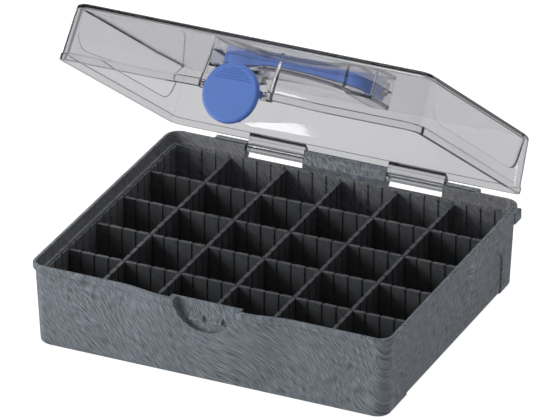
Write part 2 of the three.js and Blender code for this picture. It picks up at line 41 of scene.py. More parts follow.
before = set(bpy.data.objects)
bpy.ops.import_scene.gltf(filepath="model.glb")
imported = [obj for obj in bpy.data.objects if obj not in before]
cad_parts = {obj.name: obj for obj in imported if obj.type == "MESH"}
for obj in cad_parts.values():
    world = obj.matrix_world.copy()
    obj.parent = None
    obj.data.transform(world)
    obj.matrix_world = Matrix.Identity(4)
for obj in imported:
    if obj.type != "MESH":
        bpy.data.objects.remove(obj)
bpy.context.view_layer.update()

# ---------- fixed sizes in millimetres ----------
MM = 0.001
TRAY_LOW, TRAY_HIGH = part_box("base_tray")
RIM_WIDTH = (TRAY_HIGH.x - TRAY_LOW.x) / MM
TRAY_HEIGHT = 55.0
RIM_DEPTH = 202.0
FOOT_WIDTH = RIM_WIDTH - 6.8
FOOT_DEPTH = RIM_DEPTH - 6.0
FLOOR = 2.5
RIM_WALL = 2.3
LIP_OVERHANG = 1.4
LIP_TAPER = 1.8
FOOT_ROUND = 2.2
RIM_EDGE_ROUND = 0.8
PANEL_DROP = 0.9

PLATE_GAP = 0.3
GROOVES_PER_CELL = 4
PAD_DEPTH = 1.6
PAD_ROOTED = 0.5
LEDGE_TOP = TRAY_HEIGHT - 6.5
PAD_TOP = LEDGE_TOP - 1.2
DIVIDER_TOP = TRAY_HEIGHT - 8.8

SWELL_FULL = 26.0
SWELL_END = 58.0
BAY_HALF = 21.85
BAY_SIDE_WALL = 1.3
RECESS_RADIUS = 19.8
RECESS_CENTRE_Z = TRAY_HEIGHT + 0.8
RECESS_PLANE_Y = -100.6

HINGE_Y = 104.6
HINGE_Z = 52.0
PIN_BORE = 1.7
BARREL_RADIUS = 4.5
KNUCKLE_RADIUS = 4.2
KNUCKLE_INNER_X = 28.0
KNUCKLE_OUTER_X = 67.0
BLOCK_OUTER_X = 89.5

LID_BOTTOM = TRAY_HEIGHT + 0.3
LID_BAND_TOP = 5.2
LID_ROUND_FROM = 33.4
HOLLOW_ROUND_FROM = 32.2
BAY_TOP = LID_BOTTOM + 32.4
BAY_WALL_Y = -RIM_DEPTH / 2 + 1.2
SEAT_RING_RADIUS = 20.2
LATCH_BACK_Y = -105.6
LATCH_CENTRE_Z = RECESS_CENTRE_Z - 1
LATCH_NARROWING = 0.957
LATCH_AXIS_Y = -102.6
LATCH_AXIS_Z = LID_BOTTOM + 2.5
LATCH_BORE = 1.3

HANDLE_AXIS_Y = 1.0
HANDLE_AXIS_Z = LID_BOTTOM + 32
HANDLE_BORE = 1.8
HANDLE_HALF = 50.3
FOOT_THICKNESS = 8.5
FOOT_RADIUS = 5.6
CUP_FLOOR_Z = LID_BOTTOM + 24.9
POCKET_ENDS_Z = LID_BOTTOM + 26
POCKET_WALL = 1.5


# ---------- settings shown in the sidebar ----------
class OrganizerSizes(bpy.types.PropertyGroup):
    """Sizes of the case that a user would change."""
    columns: bpy.props.IntProperty(
        name="Columns", description="Compartments from left to right", default=6, min=1)
    rows: bpy.props.IntProperty(
        name="Rows", description="Compartments from front to back", default=5, min=1)
    column_pitch: bpy.props.FloatProperty(
        name="Column pitch", description="Distance between two long dividers", default=0.038, unit="LENGTH")
    row_pitch: bpy.props.FloatProperty(
        name="Row pitch", description="Distance between two cross dividers", default=0.0384, unit="LENGTH")
    plate: bpy.props.FloatProperty(
        name="Plate thickness", description="Thickness of a divider over its pads",
        default=0.0026, unit="LENGTH")
    web: bpy.props.FloatProperty(
        name="Web thickness", description="Thickness of a divider in its grooves",
        default=0.0008, unit="LENGTH")
    corner: bpy.props.FloatProperty(
        name="Corner radius", description="Radius of the rim's corners", default=0.009, unit="LENGTH")
    lip_height: bpy.props.FloatProperty(
        name="Lip height", description="Height of the band round the rim", default=0.0034, unit="LENGTH")
    swell: bpy.props.FloatProperty(
        name="Front swell", description="How far the front swells out round the latch",
        default=0.006, unit="LENGTH")
    lid_height: bpy.props.FloatProperty(
        name="Lid height", description="Height of the lid over the rim", default=0.0366, unit="LENGTH")
    lid_wall: bpy.props.FloatProperty(
        name="Lid wall", description="Thickness of the lid's wall", default=0.0023, unit="LENGTH")
    lid_angle: bpy.props.FloatProperty(
        name="Lid angle", description="How far the lid stands open",
        default=math.radians(36), subtype="ANGLE")
    latch_radius: bpy.props.FloatProperty(
        name="Latch radius", description="Radius of the latch disc", default=0.0185, unit="LENGTH")
    latch_thickness: bpy.props.FloatProperty(
        name="Latch thickness", description="Thickness of the latch disc", default=0.0045, unit="LENGTH")


class OrganizerColours(bpy.types.PropertyGroup):
    """Colours of the case, linear."""
    tray: bpy.props.FloatVectorProperty(
        name="Tray", description="Plastic of the tray", subtype="COLOR", default=(0.146, 0.166, 0.186))
    # a darker, greyer copy of the tray's plastic: painted shade on the tray's inner walls and pads
    inside: bpy.props.FloatVectorProperty(
        name="Tray inside", description="Plastic of the tray's inner walls", subtype="COLOR",
        default=(0.128, 0.131, 0.136))
    # dark plastic, made darker still as painted shade of the deep cells
    divider: bpy.props.FloatVectorProperty(
        name="Dividers", description="Plastic of the dividers", subtype="COLOR",
        default=(0.060, 0.062, 0.065))
    lid_tint: bpy.props.FloatVectorProperty(
        name="Lid tint", description="What the lid's plastic lets through", subtype="COLOR",
        default=(0.790, 0.784, 0.806))
    blue: bpy.props.FloatVectorProperty(
        name="Latch and handle", description="Blue of the latch and the handle", subtype="COLOR",
        default=(0.085, 0.190, 0.560))
    steel: bpy.props.FloatVectorProperty(
        name="Pins", description="Drawn steel of the pins", subtype="COLOR", default=(0.42, 0.43, 0.45))
    floor: bpy.props.FloatVectorProperty(
        name="Floor", description="Pale studio floor", subtype="COLOR", default=(0.35, 0.35, 0.36))


# ---------- mesh helpers, outlines and places in millimetres ----------
def new_object(name, vertices, faces):
    mesh = bpy.data.meshes.new(name)
    mesh.from_pydata([(x * MM, y * MM, z * MM) for x, y, z in vertices], [], faces)
    mesh.update()
    obj = bpy.data.objects.new(name, mesh)
    bpy.context.scene.collection.objects.link(obj)
    return obj


def arc(u, v, radius, start, end, steps):
    """Points on a circle round (u, v) from one angle in degrees to another."""
    angles = [math.radians(start + (end - start) * i / steps) for i in range(steps + 1)]
    return [(u + radius * math.cos(a), v + radius * math.sin(a)) for a in angles]


def curve3(start, control, end, steps=8):
    """Points on a quadratic curve, without its first point."""
    points = []
    for i in range(1, steps + 1):
        t = i / steps
        weights = ((1 - t) ** 2, 2 * t * (1 - t), t * t)
        points.append(tuple(sum(w * p[k] for w, p in zip(weights, (start, control, end))) for k in (0, 1)))
    return points


def loft(name, rings):
    """A closed solid through rings of the same number of points, lowest first, each counter-clockwise."""
    count = len(rings[0])
    vertices = [point for ring in rings for point in ring]
    faces = [tuple(reversed(range(count)))]
    for level in range(len(rings) - 1):
        base = level * count
        for i in range(count):
            j = (i + 1) % count
            faces.append((base + i, base + j, base + count + j, base + count + i))
    top = (len(rings) - 1) * count
    faces.append(tuple(range(top, top + count)))
    return new_object(name, vertices, faces)


def prism(name, outline, axis, low, high):
    """An outline run along X, Y or Z from low to high. It lies in (y, z), (x, z) or (x, y)."""
    area = sum(a[0] * b[1] - b[0] * a[1] for a, b in zip(outline, outline[1:] + outline[:1]))
    flip = (area < 0) != (axis == "Y")
    points = list(reversed(outline)) if flip else list(outline)
    place = {
        "X": lambda u, v, w: (w, u, v),
        "Y": lambda u, v, w: (u, w, v),
        "Z": lambda u, v, w: (u, v, w),
    }[axis]
    return loft(name, [[place(u, v, w) for u, v in points] for w in (low, high)])


def block(name, x0, x1, y0, y1, z0, z1):
    return prism(name, [(x0, y0), (x1, y0), (x1, y1), (x0, y1)], "Z", z0, z1)


def rod(name, x0, x1, y, z, radius, steps=32):
    return prism(name, arc(y, z, radius, 0, 360, steps)[:-1], "X", x0, x1)


def freeze(obj):
    """Puts the modifiers' result into the object's mesh."""
    evaluated = obj.evaluated_get(bpy.context.evaluated_depsgraph_get())
    mesh = bpy.data.meshes.new_from_object(evaluated)
    old = obj.data
    obj.modifiers.clear()
    obj.data = mesh
    bpy.data.meshes.remove(old)
    return obj


def combine(obj, tools, operation):
    """Cuts the tools out of obj, or joins them to it, and removes them."""
    for tool in tools:
        modifier = obj.modifiers.new(operation, "BOOLEAN")
        modifier.operation = operation
        modifier.solver = "EXACT"
        modifier.material_mode = "TRANSFER"
        modifier.object = tool
        freeze(obj)
        remove(tool)
    return obj


def cut(obj, *tools):
    return combine(obj, tools, "DIFFERENCE")


def unite(obj, *tools):
    return combine(obj, tools, "UNION")


def remove(obj):
    mesh = obj.data
    bpy.data.objects.remove(obj)
    bpy.data.meshes.remove(mesh)


def transformed_copy(obj, name, matrix):
    copy = bpy.data.objects.new(name, obj.data.copy())
    bpy.context.scene.collection.objects.link(copy)
    copy.data.transform(matrix)
    return copy


def mirrored(obj):
    """obj's copy on the other side of the middle plane."""
    copy = transformed_copy(obj, obj.name + "_mirrored", Matrix.Scale(-1, 4, (1, 0, 0)))
    copy.data.flip_normals()
    return copy


def both_sides(obj):
    return obj, mirrored(obj)


def gather(name, objects):
    """One object that holds the bodies and the materials of several."""
    joined = bmesh.new()
    materials = []
    for obj in objects:
        own = [slot for slot in obj.data.materials if slot]
        materials += [slot for slot in own if slot not in materials]
        first = len(joined.faces)
        joined.from_mesh(obj.data)
        joined.faces.ensure_lookup_table()
        for face in joined.faces[first:]:
            face.material_index = materials.index(own[min(face.material_index, len(own) - 1)]) if own else 0
        remove(obj)
    mesh = bpy.data.meshes.new(name)
    joined.to_mesh(mesh)
    joined.free()
    for material in materials:
        mesh.materials.append(material)
    obj = bpy.data.objects.new(name, mesh)
    bpy.context.scene.collection.objects.link(obj)
    return obj


def rounded(obj, width, segments=2, angle=35):
    modifier = obj.modifiers.new("rounded edges", "BEVEL")
    modifier.width = width * MM
    modifier.segments = segments
    modifier.limit_method = "ANGLE"
    modifier.angle_limit = math.radians(angle)
    modifier.use_clamp_overlap = True
    return freeze(obj)


def smooth(obj, angle=32):
    """Smooth shading with true edges kept sharp and broad faces kept flat."""
    mesh = obj.data
    mesh.polygons.foreach_set("use_smooth", [True] * len(mesh.polygons))
    mesh.set_sharp_from_angle(angle=math.radians(angle))
    modifier = obj.modifiers.new("even normals", "WEIGHTED_NORMAL")
    modifier.keep_sharp = True
    modifier.weight = 80
    return freeze(obj)


def paint(obj, material):
    obj.data.materials.clear()
    obj.data.materials.append(material)
    return obj


def hand_over(obj, body, nodes):
    """Hangs a finished piece under its body's empty and hides the CAD nodes it stands for."""
    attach(obj, body)
    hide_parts(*nodes)


def swing_open(obj, angle):
    """Turns a piece drawn on the closed lid to where the open lid stands."""
    hinge = Vector((0, HINGE_Y * MM, HINGE_Z * MM))
    turn = Matrix.Translation(hinge) @ Matrix.Rotation(-angle, 4, "X") @ Matrix.Translation(-hinge)
    obj.data.transform(turn)


# ---------- rows of like pieces ----------
def add_node(tree, kind, inputs, **settings):
    """A node with its settings made first, then each given input linked to a socket or set to a value."""
    node = tree.nodes.new(kind)
    for name, value in settings.items():
        setattr(node, name, value)
    for key, value in inputs.items():
        if isinstance(value, bpy.types.NodeSocket):
            tree.links.new(value, node.inputs[key])
        else:
            node.inputs[key].default_value = value
    return node


def row_tree():
    """Geometry Nodes that set copies of a piece in a straight row."""
    tree = bpy.data.node_groups.get("Row of pieces")
    if tree:
        return tree
    tree = bpy.data.node_groups.new("Row of pieces", "GeometryNodeTree")
    sockets = (
        ("Geometry", "NodeSocketGeometry"),
        ("Piece", "NodeSocketObject"),
        ("Count", "NodeSocketInt"),
        ("First", "NodeSocketVector"),
        ("Step", "NodeSocketVector"),
        ("Material", "NodeSocketMaterial"),
    )
    for name, kind in sockets:
        tree.interface.new_socket(name, in_out="INPUT", socket_type=kind)
    tree.interface.new_socket("Geometry", in_out="OUTPUT", socket_type="NodeSocketGeometry")
    given = tree.nodes.new("NodeGroupInput").outputs
    line = add_node(tree, "GeometryNodeMeshLine", {
        "Count": given["Count"], "Start Location": given["First"], "Offset": given["Step"]}, mode="OFFSET")
    info = add_node(tree, "GeometryNodeObjectInfo", {"Object": given["Piece"]})
    spread = add_node(tree, "GeometryNodeInstanceOnPoints", {
        "Points": line.outputs["Mesh"], "Instance": info.outputs["Geometry"]})
    real = add_node(tree, "GeometryNodeRealizeInstances", {"Geometry": spread.outputs["Instances"]})
    finish = add_node(tree, "GeometryNodeSetMaterial", {
        "Geometry": real.outputs["Geometry"], "Material": given["Material"]})
    add_node(tree, "NodeGroupOutput", {"Geometry": finish.outputs["Geometry"]})
    return tree


def row_of(piece, count, first, step, material):
    """count copies of piece, the first moved by `first` and each next one by `step`, as one object."""
    tree = row_tree()
    carrier = new_object(piece.name + "_row", [(0, 0, 0)], [])
    modifier = carrier.modifiers.new("row", "NODES")
    modifier.node_group = tree
    keys = {item.name: item.identifier for item in tree.interface.items_tree if item.in_out == "INPUT"}
    modifier[keys["Piece"]] = piece
    modifier[keys["Count"]] = count
    modifier[keys["First"]] = [value * MM for value in first]
    modifier[keys["Step"]] = [value * MM for value in step]
    modifier[keys["Material"]] = material
    return freeze(carrier)


# ---------- the case's shared outline ----------
def ease(start, end, value):
    t = min(max((value - start) / (end - start), 0), 1)
    return t * t * (3 - 2 * t)


def swell_share(x):
    """How far the front swells out at x, as a share of its full depth."""
    return 1 - ease(SWELL_FULL, SWELL_END, abs(x))


def case_ring(z, half_x, back, front, corner, swell=0.0, flat_half=0.0, steps=9):
    """One level of the case: rounded corners, and a front that swells out except within flat_half."""
    points = arc(half_x - corner, back - corner, corner, 0, 90, steps)
    points += arc(-half_x + corner, back - corner, corner, 90, 180, steps)
    points += arc(-half_x + corner, front + corner, corner, 180, 270, steps)
    stations = [SWELL_END - (SWELL_END - SWELL_FULL) * i / 14 for i in range(15)]
    points += [(-x, front - swell * swell_share(x)) for x in stations]
    inner = flat_half if flat_half else SWELL_FULL / 2
    inner_swell = 0 if flat_half else swell
    points += [(-inner, front - swell), (-inner + 0.02, front - inner_swell)]
    points += [(inner - 0.02, front - inner_swell), (inner, front - swell)]
    points += [(x, front - swell * swell_share(x)) for x in reversed(stations)]
    points += arc(half_x - corner, front + corner, corner, 270, 360, steps)
    return [(x, y, z) for x, y in points]


# ---------- shader groups and materials ----------
BEVEL_SAMPLES = 6
STREAK_TURN = math.radians(50)
GLOSS_SPREAD = 0.08
LID_DENSITY = 140.0


def noise(tree, place, scale, detail=2.0, roughness=0.5):
    """The noise texture node over a place, with a scale that is a number or a socket."""
    inputs = {"Vector": place, "Scale": scale, "Detail": detail, "Roughness": roughness}
    return add_node(tree, "ShaderNodeTexNoise", inputs)


def maths(tree, operation, *values):
    node = add_node(tree, "ShaderNodeMath", dict(enumerate(values)), operation=operation)
    return node.outputs[0]


def vector_maths(tree, operation, first, second):
    key = "Scale" if operation == "SCALE" else 1
    node = add_node(tree, "ShaderNodeVectorMath", {0: first, key: second}, operation=operation)
    return node.outputs["Value" if operation == "DOT_PRODUCT" else "Vector"]


def moved_range(tree, value, **limits):
    """`value` moved into new limits, such as from_min or to_max. A limit not given is 0 or 1."""
    inputs = {key.replace("_", " ").title(): limit for key, limit in limits.items()}
    return add_node(tree, "ShaderNodeMapRange", {"Value": value, **inputs}).outputs["Result"]


def flow_group():
    """Fine streaks of filler that follow the swirling flow of moulded plastic, and a fine grain."""
    group = bpy.data.node_groups.get("Flow streaks")
    if group:
        return group
    group = bpy.data.node_groups.new("Flow streaks", "ShaderNodeTree")
    group.interface.new_socket("Vector", in_out="INPUT", socket_type="NodeSocketVector")
    for name, value in (("Swirl Size", 14.0), ("Swirl Depth", 0.045), ("Along", 150.0), ("Across", 1400.0)):
        socket = group.interface.new_socket(name, in_out="INPUT", socket_type="NodeSocketFloat")
        socket.default_value = value
    for name in ("Streaks", "Cloud", "Grain"):
        group.interface.new_socket(name, in_out="OUTPUT", socket_type="NodeSocketFloat")
    given = group.nodes.new("NodeGroupInput").outputs
    place = given["Vector"]
    around = vector_maths(group, "DOT_PRODUCT", place, (1, -1, 0))
    upwards = vector_maths(group, "DOT_PRODUCT", place, (0, 0.5, 1))
    wall = add_node(group, "ShaderNodeCombineXYZ", {"X": around, "Y": upwards}).outputs[0]
    swirl = noise(group, wall, given["Swirl Size"], 1.0)
    centred = vector_maths(group, "SUBTRACT", swirl.outputs["Color"], (0.5, 0.5, 0.5))
    drift = vector_maths(group, "SCALE", centred, given["Swirl Depth"])
    moved = vector_maths(group, "ADD", wall, drift)
    turned = add_node(
        group, "ShaderNodeVectorRotate", {"Vector": moved, "Rotation": (0, 0, STREAK_TURN)},
        rotation_type="EULER_XYZ")
    stretch = add_node(group, "ShaderNodeCombineXYZ", {"X": given["Along"], "Y": given["Across"]})
    drawn = vector_maths(group, "MULTIPLY", turned.outputs["Vector"], stretch.outputs[0])
    streaks = noise(group, drawn, 1.0, 3.0, 0.6).outputs["Fac"]
    add_node(group, "NodeGroupOutput", {
        "Streaks": moved_range(group, streaks, from_min=0.36, from_max=0.64),
        "Cloud": noise(group, moved, 26.0, 4.0).outputs["Fac"],
        "Grain": noise(group, place, 1900.0, 1.0).outputs["Fac"],
    })
    return group


def start_material(name):
    """A fresh material: its node tree, its Principled BSDF and its object coordinates."""
    material = bpy.data.materials.new(name)
    material.use_nodes = True
    tree = material.node_tree
    place = tree.nodes.new("ShaderNodeTexCoord")
    return material, tree, tree.nodes["Principled BSDF"], place.outputs["Object"]


def colour_between(tree, share, dark, light):
    inputs = {"Factor": share, "A": (*dark, 1), "B": (*light, 1)}
    return add_node(tree, "ShaderNodeMix", inputs, data_type="RGBA").outputs["Result"]


def uneven_colour(tree, shader, share, colour, contrast):
    """Base colour that goes from darker to lighter than `colour` as `share` goes from 0 to 1."""
    dark = [c * (1 - contrast) for c in colour]
    light = [c * (1 + contrast) for c in colour]
    tree.links.new(colour_between(tree, share, dark, light), shader.inputs["Base Color"])


def uneven_gloss(tree, shader, share, first, last):
    """Roughness that goes from first to last as `share` goes from 0 to 1."""
    tree.links.new(moved_range(tree, share, to_min=first, to_max=last), shader.inputs["Roughness"])


def soft_edge_bump(tree, shader, height, depth, edge=0.0):
    """Bump from height over slightly rounded edges, into the shader's Normal."""
    inputs = {"Strength": 1.0, "Distance": depth, "Height": height}
    if edge:
        bevel = add_node(tree, "ShaderNodeBevel", {"Radius": edge}, samples=BEVEL_SAMPLES)
        inputs["Normal"] = bevel.outputs["Normal"]
    bump = add_node(tree, "ShaderNodeBump", inputs)
    tree.links.new(bump.outputs["Normal"], shader.inputs["Normal"])


def streaked_plastic(name, colour, contrast, roughness, edge=0.0, swirl_depth=0.045):
    """Carbon-filled plastic: fine bright fibres in a swirling flow, a broad cloudiness and a fine grain."""
    material, tree, shader, place = start_material(name)
    inputs = {"Vector": place, "Swirl Depth": swirl_depth}
    flow = add_node(tree, "ShaderNodeGroup", inputs, node_tree=flow_group())
    clouds = maths(tree, "MULTIPLY", flow.outputs["Cloud"], 0.3)
    share = maths(tree, "MULTIPLY_ADD", flow.outputs["Streaks"], 0.75, clouds)
    uneven_colour(tree, shader, share, colour, contrast)
    uneven_gloss(tree, shader, share, roughness + GLOSS_SPREAD, roughness - GLOSS_SPREAD)
    height = maths(tree, "ADD", flow.outputs["Streaks"], flow.outputs["Grain"])
    soft_edge_bump(tree, shader, height, 0.00006, edge)
    return material


def blue_plastic(name, colour):
    """Solid-coloured plastic with a faint cloudiness and a very fine satin texture."""
    material, tree, shader, place = start_material(name)
    uneven_colour(tree, shader, noise(tree, place, 55.0, 3.0).outputs["Fac"], colour, 0.1)
    grain = noise(tree, place, 1400.0).outputs["Fac"]
    uneven_gloss(tree, shader, grain, 0.34, 0.46)
    soft_edge_bump(tree, shader, grain, 0.00002, 0.0003)
    return material


def drawn_steel(name, colour):
    """Steel with fine lengthwise draw marks."""
    material, tree, shader, place = start_material(name)
    stretch = add_node(tree, "ShaderNodeMapping", {"Vector": place, "Scale": (30, 2600, 2600)})
    marks = noise(tree, stretch.outputs["Vector"], 1.0).outputs["Fac"]
    uneven_colour(tree, shader, marks, colour, 0.2)
    uneven_gloss(tree, shader, marks, 0.25, 0.42)
    shader.inputs["Metallic"].default_value = 1.0
    soft_edge_bump(tree, shader, marks, 0.00002)
    return material


def smoke_plastic(name, tint):
    """Clear smoke-tinted plastic: the tint deepens with thickness, faint flow marks break the gloss, and
    painted shade darkens the base colour along rounded edges.
    """
    material, tree, shader, place = start_material(name)
    shader.inputs["Transmission Weight"].default_value = 1.0
    shader.inputs["IOR"].default_value = 1.49
    marks = noise(tree, place, 42.0).outputs["Fac"]
    uneven_gloss(tree, shader, marks, 0.0, 0.05)
    soft_edge_bump(tree, shader, marks, 0.00004)
    shade = colour_between(tree, marks, (0.97, 0.97, 0.98), (1, 1, 1))
    # painted shade: the base colour falls to 30 % where the bevelled normal turns away from the true
    # normal, drawing dark lines along the edges
    rounding = add_node(tree, "ShaderNodeBevel", {"Radius": 0.0009}, samples=BEVEL_SAMPLES)
    facing = tree.nodes.new("ShaderNodeNewGeometry")
    painted_shade_facing = vector_maths(tree, "DOT_PRODUCT", rounding.outputs["Normal"], facing.outputs["Normal"])
    edge = moved_range(tree, painted_shade_facing, from_min=0.75, from_max=0.99, to_min=0.3)
    tree.links.new(vector_maths(tree, "SCALE", shade, edge), shader.inputs["Base Color"])
    passing = add_node(tree, "ShaderNodeBsdfTransparent", {"Color": (0.86, 0.86, 0.87, 1)})
    rays = tree.nodes.new("ShaderNodeLightPath")
    surface = add_node(tree, "ShaderNodeMixShader", {
        "Fac": rays.outputs["Is Shadow Ray"], 1: shader.outputs["BSDF"], 2: passing.outputs["BSDF"]})
    inner = add_node(tree, "ShaderNodeVolumeAbsorption", {"Color": (*tint, 1), "Density": LID_DENSITY})
    out = tree.nodes["Material Output"]
    tree.links.new(surface.outputs["Shader"], out.inputs["Surface"])
    tree.links.new(inner.outputs["Volume"], out.inputs["Volume"])
    return material


def studio_floor(name, colour):
    """Matt floor with a faint glow of its own, stronger where it is looked at directly."""
    material, tree, shader, _ = start_material(name)
    shader.inputs["Base Color"].default_value = (*colour, 1)
    shader.inputs["Roughness"].default_value = 0.7
    shader.inputs["Emission Color"].default_value = (1, 1, 1, 1)
    rays = tree.nodes.new("ShaderNodeLightPath")
    bounced = moved_range(tree, rays.outputs["Is Diffuse Ray"], to_min=0.36, to_max=0.33)
    glow = moved_range(tree, rays.outputs["Is Camera Ray"], to_min=bounced, to_max=0.9)
    tree.links.new(glow, shader.inputs["Emission Strength"])
    return material


# ---------- tray ----------
def tray_half(z, sizes):
    """Half sizes of the tray's outer wall below the lip at height z."""
    lip_bottom = TRAY_HEIGHT - sizes.lip_height / MM
    t = (z - FOOT_ROUND) / (lip_bottom - FOOT_ROUND)
    half_x = (FOOT_WIDTH + (RIM_WIDTH - 2 * LIP_OVERHANG - FOOT_WIDTH) * t) / 2
    half_y = (FOOT_DEPTH + (RIM_DEPTH - 2 * LIP_OVERHANG - FOOT_DEPTH) * t) / 2
    return half_x, half_y


def tray_outer(sizes):
    """The tray's outside as a solid: rounded foot, drafted wall, tapered lip and soft rim."""
    corner, swell = sizes.corner / MM, sizes.swell / MM
    lip_bottom = TRAY_HEIGHT - sizes.lip_height / MM

    def wall(z, inset, height):
        half_x, half_y = tray_half(max(z, FOOT_ROUND), sizes)
        bulge = swell * ease(0, TRAY_HEIGHT - 4, height)
        return case_ring(z, half_x - inset, half_y - inset, -half_y + inset, corner - 1, bulge)

    def lip(z, inset):
        half_x, half_y = RIM_WIDTH / 2 - inset, RIM_DEPTH / 2 - inset
        return case_ring(z, half_x, half_y, -half_y, corner, swell)

    rings = []
    for step in range(6):
        turn = math.radians(18 * step)
        z = FOOT_ROUND * (1 - math.cos(turn))
        rings.append(wall(z, FOOT_ROUND * (1 - math.sin(turn)), z))
    taper_low = lip_bottom - LIP_TAPER
    rings += [wall(z, 0, z) for z in (8, 15, 22, 30, 38, 44, taper_low)]
    for t in (0.3, 0.6, 0.85, 1):
        rings.append(lip(lip_bottom - LIP_TAPER * (1 - t), LIP_OVERHANG * (1 - ease(0, 1, t))))
    for step in range(5):
        turn = math.radians(22.5 * step)
        z = TRAY_HEIGHT - RIM_EDGE_ROUND * (1 - math.sin(turn))
        rings.append(lip(z, RIM_EDGE_ROUND * (1 - math.cos(turn))))
    return loft("tray_shell", rings)


def room_half(sizes):
    """Half sizes of the room between the guide pads on opposite walls."""
    half_x = (sizes.columns * sizes.column_pitch - sizes.plate) / MM / 2
    half_y = (sizes.rows * sizes.row_pitch - sizes.plate) / MM / 2
    return half_x, half_y


def tray_hollow(sizes):
    """The tray's inside as a solid: the grooves' floor plane, the ledge and the sloping rim."""
    corner = sizes.corner / MM
    half_x, half_y = room_half(sizes)
    groove = (sizes.plate - sizes.web) / MM / 2
    ledge_x, ledge_y = tray_half(LEDGE_TOP, sizes)
    rim_x, rim_y = RIM_WIDTH / 2 - RIM_WALL, RIM_DEPTH / 2 - RIM_WALL
    flat = BAY_HALF + 1.6

    def level(z, x, y, round_corner, swell=0.0):
        return case_ring(z, x, y, -y, round_corner, swell, flat)

    return loft("tray_hollow", [
        level(FLOOR, half_x + groove, half_y + groove, 2.5),
        level(LEDGE_TOP - 0.6, half_x + groove, half_y + groove, 2.5),
        level(LEDGE_TOP - 0.15, half_x + groove + 0.3, half_y + groove + 0.2, 3),
        level(LEDGE_TOP, ledge_x - RIM_WALL - 0.3, ledge_y - RIM_WALL - 0.3, 5),
        level(LEDGE_TOP + 0.6, ledge_x - RIM_WALL, ledge_y - RIM_WALL, 5.6, 0.5),
        level(TRAY_HEIGHT - 0.5, rim_x - 0.05, rim_y - 0.05, corner - RIM_WALL, 3.8),
        level(TRAY_HEIGHT - 0.15, rim_x + 0.15, rim_y + 0.15, corner - RIM_WALL, 4),
        level(TRAY_HEIGHT + 0.1, rim_x + 0.6, rim_y + 0.6, corner - RIM_WALL, 4),
    ])


def side_panel(sizes):
    """The shallow panel sunk into the lower part of a side wall, as a cutter."""
    rear, front, top, corner = 78, -66, 34, 13
    outline = [(front, -1), (rear, -1)]
    outline += arc(rear - corner, top - corner, corner, 0, 90, 10)
    outline += arc(front + corner, top - corner, corner, 90, 180, 10)
    low, _ = tray_half(FOOT_ROUND, sizes)
    high, _ = tray_half(top, sizes)
    tool = prism("panel", outline, "X", 100, 130)
    skin = prism("panel_depth", [
        (low - 2.9, -1.5), (150, -1.5), (150, top + 1), (high - PANEL_DROP, top + 1),
        (low - PANEL_DROP, FOOT_ROUND),
    ], "Y", -100, 100)
    return combine(tool, [skin], "INTERSECT")


def wall_pad(name, width, depth, height):
    """One guide pad of the tray wall, standing on the floor with a rounded shoulder."""
    return rounded(block(name, -width / 2, width / 2, 0, depth, 0, height), 0.4)


def wall_pads(sizes, material):
    """The guide pads along the four walls, between their grooves."""
    groove = sizes.web / MM + 2 * PLATE_GAP
    step_x = sizes.column_pitch / MM / GROOVES_PER_CELL
    step_y = sizes.row_pitch / MM / GROOVES_PER_CELL
    half_x, half_y = room_half(sizes)
    height, foot = PAD_TOP - FLOOR + PAD_ROOTED, FLOOR - PAD_ROOTED
    across = wall_pad("pad_across", step_x - groove, PAD_DEPTH, height)
    along = wall_pad("pad_along", PAD_DEPTH, step_y - groove, height)
    count_x = sizes.columns * GROOVES_PER_CELL
    count_y = sizes.rows * GROOVES_PER_CELL
    first_x = (0.5 - count_x / 2) * step_x
    first_y = (0.5 - count_y / 2) * step_y - (step_y - groove) / 2
    rows = [
        row_of(across, count_x, (first_x, half_y, foot), (step_x, 0, 0), material),
        row_of(across, count_x, (first_x, -half_y - PAD_DEPTH, foot), (step_x, 0, 0), material),
        row_of(along, count_y, (half_x + PAD_DEPTH / 2, first_y, foot), (0, step_y, 0), material),
        row_of(along, count_y, (-half_x - PAD_DEPTH / 2, first_y, foot), (0, step_y, 0), material),
    ]
    remove(across)
    remove(along)
    return rows


def catch_lug():
    """One of the two wedges that the latch snaps under."""
    back, front = RECESS_PLANE_Y + 0.5, RECESS_PLANE_Y - 2.8
    lug = prism("lug", [(back, 46.4), (front, 43.6), (front, 42.6), (back, 42)], "X", 1.8, 10.8)
    return rounded(lug, 0.3)


def hinge_barrel():
    """The middle barrel on its bracket."""
    wall = RIM_DEPTH / 2 - RIM_WALL
    half = KNUCKLE_INNER_X
    barrel = rod("barrel", -half, half, HINGE_Y, HINGE_Z, BARREL_RADIUS, 48)
    bracket = prism("bracket", [
        (wall - 0.6, 40), (HINGE_Y - 1, 40), (HINGE_Y + 3.6, 46.5), (HINGE_Y + 3.6, HINGE_Z - 1),
        (HINGE_Y, HINGE_Z + 1), (HINGE_Y - 4.3, HINGE_Z + 0.6), (wall - 0.6, HINGE_Z - 1.5),
    ], "X", -half + 0.01, half - 0.01)
    return [rounded(barrel, 0.35), rounded(bracket, 0.35)]


def hinge_block():
    """One of the outer blocks that take the ends of the hinge pins."""
    wall = RIM_DEPTH / 2 - RIM_WALL
    outline = [
        (wall - 0.4, 44), (HINGE_Y - 1, 44), (HINGE_Y + 3, 48.5), (HINGE_Y + 3, 53.2),
        (HINGE_Y + 0.6, TRAY_HEIGHT), (wall, TRAY_HEIGHT),
    ]
    solid = prism("hinge_block", outline, "X", KNUCKLE_OUTER_X + PLATE_GAP, BLOCK_OUTER_X)
    return rounded(solid, 0.5, 3)


